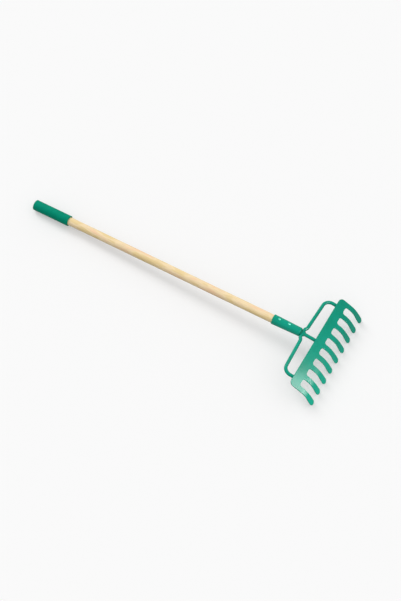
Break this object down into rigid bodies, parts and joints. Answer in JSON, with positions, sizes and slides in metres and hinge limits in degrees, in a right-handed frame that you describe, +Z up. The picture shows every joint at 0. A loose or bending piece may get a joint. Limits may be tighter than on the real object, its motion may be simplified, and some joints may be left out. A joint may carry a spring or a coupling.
{
  "type": "sand rake",
  "caption": "Child's sand rake: a stamped plate with curved tines on a bent steel bow and strut, riveted by a socket to a round wooden handle with a plastic grip.",
  "frame": {"origin": "middle of the rake's bounding box, on the ground the rake lies on", "axes": "+X along the rake from the grip towards the head, +Y across the head to the left, +Z up; the rake lies on the points of its tines and on the rim of the grip's end"},
  "size_m": [0.7546, 0.241, 0.0527],
  "materials": {
    "handle_wood": "planed pale wood, thinly varnished",
    "grip_plastic": "soft satin moulding",
    "painted_steel": "glossy baked enamel",
    "rivet_metal": "bare satin metal"
  },
  "bodies": {
    "root": {"handle": "handle_wood", "grip": "grip_plastic", "socket": "painted_steel", "socket_rivets": "rivet_metal", "bow_rod": "painted_steel", "strut": "painted_steel", "tine_plate": "painted_steel", "socket_welds": "painted_steel", "strut_welds": "painted_steel", "plate_welds": "painted_steel"}
  },
  "joints": []
}
